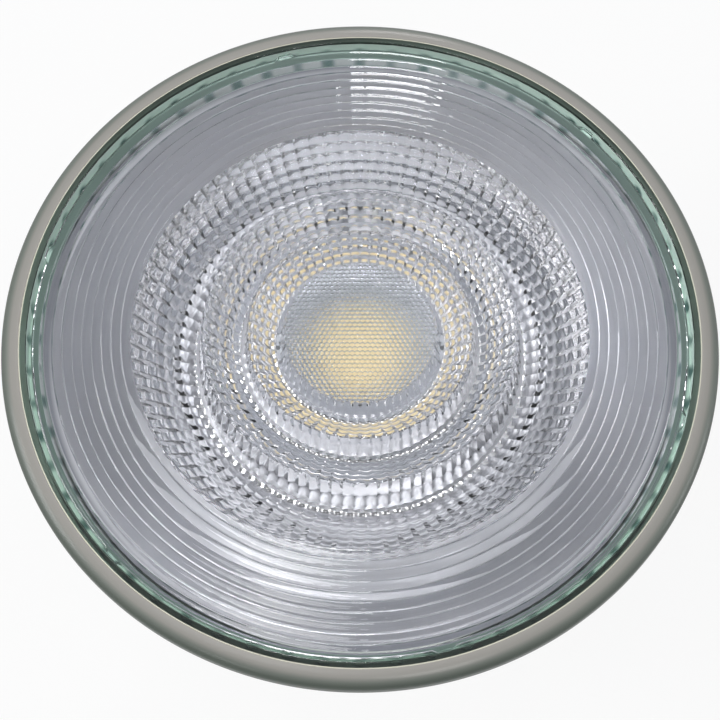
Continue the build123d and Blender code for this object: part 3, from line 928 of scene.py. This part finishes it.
@dataclass
class Lens:
    """Clear moulded lens: ribbed ring, domed front, three faceted teeth and a middle disc."""

    radius: float = 50.8
    edge_top: float = 1.3
    edge_thickness: float = 2.0
    edge_land: float = 0.35
    crown: float = 2.5
    optic_radius: float = 35.3
    optic_thickness: float = 2.9
    dome: float = 0.5
    dome_rows: int = 14
    ribs: int = 10
    rib_height: float = 0.2
    rib_steps: int = 8
    rib_power: int = 6
    groove_draw: float = 0.7
    edge_round: float = 0.2
    seal_width: float = 1.1
    nubs: int = 6
    nub_first: float = 44.0
    nub_reach: float = 0.6
    nub_half_width: float = 1.1
    tip_flat: float = 0.3
    flank_angle: float = 57.0
    facet_bulge: tuple[float, float] = (0.35, 0.15)
    facet_steps: int = 5
    flute_bulge: float = 0.2
    wall_steps: int = 6
    disc_radius: float = 11.7
    disc_rows: int = 10
    columns: int = 360
    teeth: tuple[Tooth, ...] = (
        Tooth(11.7, 12.7, 17.3, 60, 5),
        Tooth(17.3, 18.3, 24.4, 72, 6),
        Tooth(24.4, 25.5, 35.3, 90, 8),
    )

    @property
    def back(self) -> float:
        """Height of the back of the middle disc, where the teeth start."""
        return self.edge_top + self.crown - self.optic_thickness

    def front_rows(self) -> np.ndarray:
        """Give the front from the middle outwards: a dome f + d (1 - (r/R)^2), then ribs on a cone.

        A rib is h (1 - |2u - 1|^6) high. The rows are closer together at its grooves:
        u = s - 0.7 sin(2 pi s) / (2 pi) for even steps of s.

        Returns:
            n by 2 array of radius and height.
        """
        r = np.linspace(0, self.optic_radius, self.dome_rows)[:-1]
        front = self.edge_top + self.crown
        dome = np.stack([r, front + self.dome * (1 - (r / self.optic_radius) ** 2)], -1)
        outer = self.radius - self.edge_land
        s = np.linspace(0, self.ribs, self.ribs * self.rib_steps + 1)
        t = (s - self.groove_draw * np.sin(2 * np.pi * s) / (2 * np.pi)) / self.ribs
        u = np.mod(t * self.ribs, 1)
        cone = front - self.crown * t + self.rib_height * (1 - np.abs(2 * u - 1) ** self.rib_power)
        ribbed = np.stack([self.optic_radius + (outer - self.optic_radius) * t, cone], -1)
        return np.concatenate([dome, ribbed])

    def edge_rows(self) -> np.ndarray:
        """Give the outer edge from its top to its underside.

        Returns:
            n by 2 array of radius and height.
        """
        low, small = self.edge_top - self.edge_thickness, self.edge_round
        return np.concatenate([
            arc((self.radius - small, self.edge_top - small), (small, small), 90, 0, 3),
            np.array([[self.radius, low + small], [self.radius - small, low]]),
        ])

    def tooth_rows(self, tooth: Tooth, turn: np.ndarray) -> tuple[np.ndarray, np.ndarray]:
        """Give the flank and inner wall of one tooth, from its crest to its tip and up to its foot.

        A facet swells from the cone by 2 a u (1 - u) + 2 b v (1 - v), with u and v from 0 to 1 across it. A
        flute of the wall swells towards the axis by 4 c u (1 - u).

        Args:
            tooth: the tooth.
            turn: angles of the columns.

        Returns:
            Radii and heights by row and column.
        """
        slope = math.radians(self.flank_angle)
        start = tooth.tip_radius + self.tip_flat
        depth = (tooth.crest_radius - start) * math.tan(slope)
        u = np.mod(turn * tooth.around / (2 * np.pi), 1)
        t = np.linspace(1, 0, tooth.rows * self.facet_steps + 1)[:, None]
        v = np.mod(t * tooth.rows, 1)
        swell = 2 * (self.facet_bulge[0] * u * (1 - u) + self.facet_bulge[1] * v * (1 - v))
        flank_r = start + (tooth.crest_radius - start) * t + swell * math.sin(slope)
        flank_z = self.back - depth * (1 - t) - swell * math.cos(slope)
        s = np.linspace(1, 0, self.wall_steps)[:, None]
        flute = self.flute_bulge * 4 * u * (1 - u)
        wall_r = tooth.foot_radius + (tooth.tip_radius - tooth.foot_radius) * s - flute
        wall_z = self.back - depth * s + 0 * u
        return np.concatenate([flank_r, wall_r]), np.concatenate([flank_z, wall_z])

    def rows(self) -> tuple[np.ndarray, np.ndarray]:
        """Give all rows, from the middle of the front round to the middle of the back.

        Returns:
            Radii and heights by row and column.
        """
        turn = full_turn(self.columns)
        spread = np.ones(self.columns)
        front, edge = self.front_rows(), self.edge_rows()
        nub = np.where(within(turn, self.nubs, self.nub_first, self.nub_half_width) < 1, self.nub_reach, 0.0)
        under = np.array([[self.radius - self.seal_width, self.edge_top - self.edge_thickness]])
        radii = [front[:, :1] * spread, edge[:, :1] + nub, under[:, :1] * spread]
        heights = [front[:, 1:] * spread, edge[:, 1:] * spread, under[:, 1:] * spread]
        for tooth in reversed(self.teeth):
            tooth_r, tooth_z = self.tooth_rows(tooth, turn)
            radii.append(tooth_r)
            heights.append(tooth_z)
        disc = np.linspace(self.disc_radius, 0, self.disc_rows)[1:, None] * spread
        return np.concatenate([*radii, disc]), np.concatenate([*heights, self.back + 0 * disc])

    def build(self) -> bpy.types.Object:
        """Make the lens as one closed surface.

        Returns:
            The lens.
        """
        radius, height = self.rows()
        points = turned(radius, height, self.columns)
        piece = mesh_from("lens_optic", points, ring_faces(len(radius), self.columns), sharp=13, weld=0.002)
        piece.data.materials.append(CLEAR_ACRYLIC.build())
        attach(piece, BODY)
        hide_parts("lens")
        return piece


@dataclass
class Works:
    """The CAD pieces that keep their shape, each with its finish."""

    finishes: dict[str, Finish] = field(default_factory=lambda: {
        "lens_seal": SILICONE,
        "heat_spreader": ALUMINIUM,
        "insulating_disc": FILM,
        "wire_grommets": PLUG,
        "thermal_pad": PAD,
        "emitter_substrate": SUBSTRATE,
        "emitter_dam": DAM,
        "emitter_phosphor": PHOSPHOR,
        "emitter_holder": HOLDER,
        "holder_screws": DULL_ZINC,
        "lead_wire_negative": GREY_SLEEVE,
        "lead_wire_positive": WHITE_SLEEVE,
        "base_cement": CEMENT,
        "base_housing": BASE,
        "driver_board": BOARD,
        "terminal_lug_left": NICKEL,
        "terminal_lug_right": NICKEL,
        "terminal_washers": ZINC,
        "terminal_screws": ZINC,
        "large_capacitor": SLEEVE,
        "small_capacitor": SLEEVE,
        "inductor_core": FERRITE,
        "inductor_winding": COPPER,
        "bridge_rectifier": BLACK_BODY,
        "driver_chip": BLACK_BODY,
        "film_capacitor": FILM_CASE,
        "input_fuse": FUSE,
        "chip_resistors": BLACK_BODY,
    })

    def dress(self, nodes: dict[str, bpy.types.Object]) -> None:
        """Give each piece its material.

        Args:
            nodes: the frame's CAD nodes by name.
        """
        made: dict[str, bpy.types.Material] = {}
        for name, finish in self.finishes.items():
            if finish.name not in made:
                made[finish.name] = finish.build()
            slots = nodes[name].data.materials
            slots.clear()
            slots.append(made[finish.name])
            LOG.info("dressed %s in %s", name, finish.name)


@dataclass(frozen=True)
class SoftLight:
    """One rectangular studio light, placed in millimetres from the lamp."""

    name: str
    place: tuple[float, float, float]
    size: tuple[float, float]
    power: float

    def build(self) -> None:
        """Add the light, turned to face the lamp."""
        data = bpy.data.lights.new(self.name, "AREA")
        data.shape = "RECTANGLE"
        data.size, data.size_y = self.size[0] * MM, self.size[1] * MM
        data.energy = self.power
        light = bpy.data.objects.new(self.name, data)
        bpy.context.scene.collection.objects.link(light)
        light.location = Vector(self.place) * MM
        light.rotation_mode = "QUATERNION"
        light.rotation_quaternion = (-Vector(self.place)).to_track_quat("-Z", "Y")


@dataclass
class Studio:
    """Camera, floor, pale surroundings and soft lights."""

    tilt: float = 22.66
    distance: float = 300.0
    focal_pixels: float = 1932.0
    frame_pixels: float = 720.0
    aim_pixels: tuple[float, float] = (0.0, 22.6)
    ambient: float = 0.5
    ambient_colour: str = "c0c2c8"
    seen: float = 0.5
    seen_colour: str = "eef0f4"
    near_share: float = 0.35
    bright_way: tuple[float, float] = (0.5, 0.87)
    bright_span: float = 0.7
    floor_colour: str = "f6f6f6"
    floor_glow: float = 0.88
    floor_half_side: float = 3000.0
    lights: tuple[SoftLight, ...] = (
        SoftLight("left", (-760, -40, 560), (400, 340), 3.8),
        SoftLight("zenith", (-130, -50, 900), (220, 200), 0.8),
        SoftLight("overhead", (160, -380, 860), (200, 200), 1.2),
        SoftLight("far", (60, 800, 420), (150, 200), 1.1),
        SoftLight("right", (860, -60, 240), (300, 300), 1.5),
        SoftLight("near", (-420, -700, 520), (200, 200), 0.5),
    )

    def camera(self) -> None:
        """Place the camera at the photograph's angle, above the lamp and on its near side."""
        data = bpy.data.cameras.new("camera")
        data.sensor_width = 36.0
        data.lens = self.focal_pixels / self.frame_pixels * data.sensor_width
        data.clip_start, data.clip_end = 0.01, 20
        camera = bpy.data.objects.new("camera", data)
        bpy.context.scene.collection.objects.link(camera)
        tilt, scale = math.radians(self.tilt), self.distance * MM / self.focal_pixels
        camera.location = Vector((0, -math.sin(tilt), math.cos(tilt))) * self.distance * MM
        right, up = Vector((1, 0, 0)), Vector((0, math.cos(tilt), math.sin(tilt)))
        target = right * self.aim_pixels[0] * scale - up * self.aim_pixels[1] * scale
        camera.rotation_mode = "QUATERNION"
        camera.rotation_quaternion = (target - camera.location).to_track_quat("-Z", "Y")
        bpy.context.scene.camera = camera

    def seen_rays(self, tree: Tree) -> Socket:
        """Give 1 for rays that show the background straight on, in metal or through glass, and 0 for others.

        Args:
            tree: the node tree.

        Returns:
            A value socket.
        """
        path = add_node(tree, "ShaderNodeLightPath")
        first = math_node(tree, "MAXIMUM", path.outputs["Is Camera Ray"], path.outputs["Is Glossy Ray"])
        return math_node(tree, "MAXIMUM", first, path.outputs["Is Transmission Ray"])

    def world(self) -> None:
        """Make pale surroundings that are brighter on the far right than on the near left."""
        world = bpy.data.worlds.new("studio")
        bpy.context.scene.world = world
        world.use_nodes = True
        tree = world.node_tree
        tree.nodes.clear()
        out = add_node(tree, "ShaderNodeOutputWorld")
        way = add_node(tree, "ShaderNodeTexCoord").outputs["Generated"]
        split = add_node(tree, "ShaderNodeSeparateXYZ", links={0: way})
        across = math_node(tree, "MULTIPLY", split.outputs[0], self.bright_way[0])
        along = math_node(tree, "MULTIPLY_ADD", split.outputs[1], self.bright_way[1], across)
        settings = {
            "From Min": -self.bright_span,
            "From Max": self.bright_span,
            "To Min": self.near_share,
            "To Max": 2 - self.near_share,
        }
        share = add_node(tree, "ShaderNodeMapRange", settings, {"Value": along}).outputs[0]
        ambient, seen = (math_node(tree, "MULTIPLY", share, v) for v in (self.ambient, self.seen))
        settings = {"Color": linear(self.ambient_colour)}
        soft = add_node(tree, "ShaderNodeBackground", settings, {"Strength": ambient})
        settings = {"Color": linear(self.seen_colour)}
        pale = add_node(tree, "ShaderNodeBackground", settings, {"Strength": seen})
        links = {0: self.seen_rays(tree), 1: soft.outputs[0], 2: pale.outputs[0]}
        mix = add_node(tree, "ShaderNodeMixShader", links=links)
        tree.links.new(mix.outputs[0], out.inputs["Surface"])

    def floor(self, low: float) -> None:
        """Add the floor under the lamp; it is white, keeps the shadow, and is clear from below.

        Args:
            low: its height in millimetres.
        """
        side = self.floor_half_side
        corners = np.array([[-side, -side, low], [side, -side, low], [side, side, low], [-side, side, low]])
        piece = mesh_from("floor", corners, np.array([[0, 1, 2, 3]]))
        material, tree, out = new_material("floor_white")
        matt = add_node(tree, "ShaderNodeBsdfDiffuse", {"Color": linear(self.floor_colour)})
        glow = add_node(tree, "ShaderNodeEmission", {"Strength": 1.0})
        share = math_node(tree, "MULTIPLY", self.seen_rays(tree), self.floor_glow)
        top = add_node(tree, "ShaderNodeMixShader", links={0: share, 1: matt.outputs[0], 2: glow.outputs[0]})
        below = add_node(tree, "ShaderNodeNewGeometry").outputs["Backfacing"]
        clear = add_node(tree, "ShaderNodeBsdfTransparent")
        mix = add_node(tree, "ShaderNodeMixShader", links={0: below, 1: top.outputs[0], 2: clear.outputs[0]})
        tree.links.new(mix.outputs[0], out.inputs["Surface"])
        piece.data.materials.append(material)
        piece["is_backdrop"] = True

    def build(self, low: float) -> None:
        """Set up the whole studio.

        Args:
            low: height of the lamp's lowest point in millimetres.
        """
        self.camera()
        self.world()
        self.floor(low)
        for light in self.lights:
            light.build()


@dataclass
class Lamp:
    """The whole lamp."""

    glass: GlassBody = field(default_factory=GlassBody)
    lens: Lens = field(default_factory=Lens)
    works: Works = field(default_factory=Works)

    def build(self, nodes: dict[str, bpy.types.Object]) -> None:
        """Make the new pieces and dress the others.

        Args:
            nodes: the frame's CAD nodes by name.
        """
        for piece in (self.glass.build(), self.lens.build()):
            LOG.info("built %s with %d faces", piece.name, len(piece.data.polygons))
        self.works.dress(nodes)


def main() -> None:
    """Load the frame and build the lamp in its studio."""
    logging.basicConfig(level=logging.INFO, format="%(message)s")
    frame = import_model()
    cad_low, cad_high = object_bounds()
    bpy.context.scene.view_settings.view_transform = "Standard"
    Lamp().build(frame["nodes"])
    Studio().build(cad_low.z / MM)


if __name__ == "__main__":
    main()
